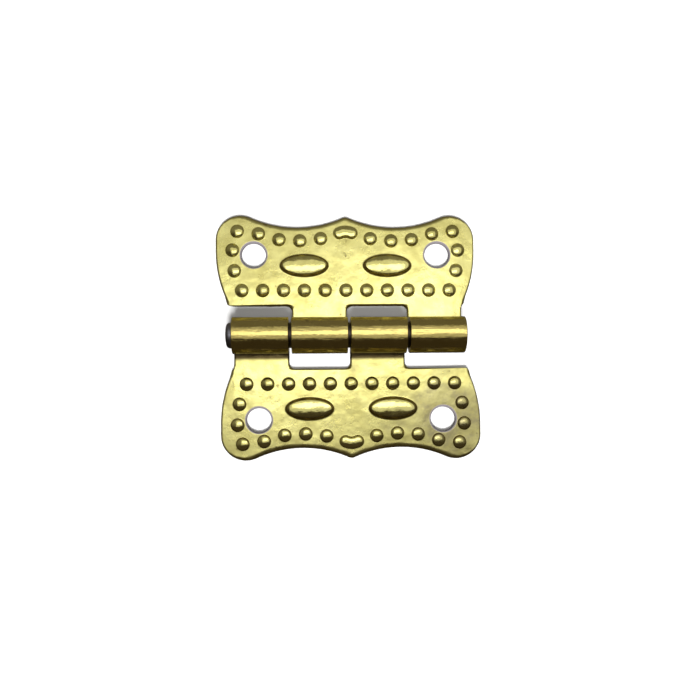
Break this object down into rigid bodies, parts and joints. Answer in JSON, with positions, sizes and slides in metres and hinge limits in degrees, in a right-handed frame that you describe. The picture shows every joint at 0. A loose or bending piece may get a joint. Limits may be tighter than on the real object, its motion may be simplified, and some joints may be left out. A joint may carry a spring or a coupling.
{
  "type": "butterfly box hinge",
  "caption": "Small butterfly box hinge: scalloped stamped leaves embossed with beads and ovals, rolled knuckles and a pin, folding face to face.",
  "frame": {"origin": "on the back plane of the open leaves, under the middle of the barrel", "axes": "+X along the pin, +Y towards the upper leaf, +Z out of the embossed front"},
  "size_m": [0.0254, 0.0236, 0.0035],
  "materials": {
    "upper_leaf": "bright rolled sheet",
    "lower_leaf": "bright rolled sheet",
    "hinge_pin": "dull drawn wire"
  },
  "bodies": {
    "lower": {"lower_leaf": "lower_leaf", "hinge_pin": "hinge_pin"},
    "upper": {"upper_leaf": "upper_leaf"}
  },
  "joints": [
    {"name": "leaf_fold", "type": "hinge", "parent": "lower", "child": "upper", "pos_m": [0, 0, 0.00173], "axis": [1, 0, 0], "range_deg": [-115, 188]}
  ]
}
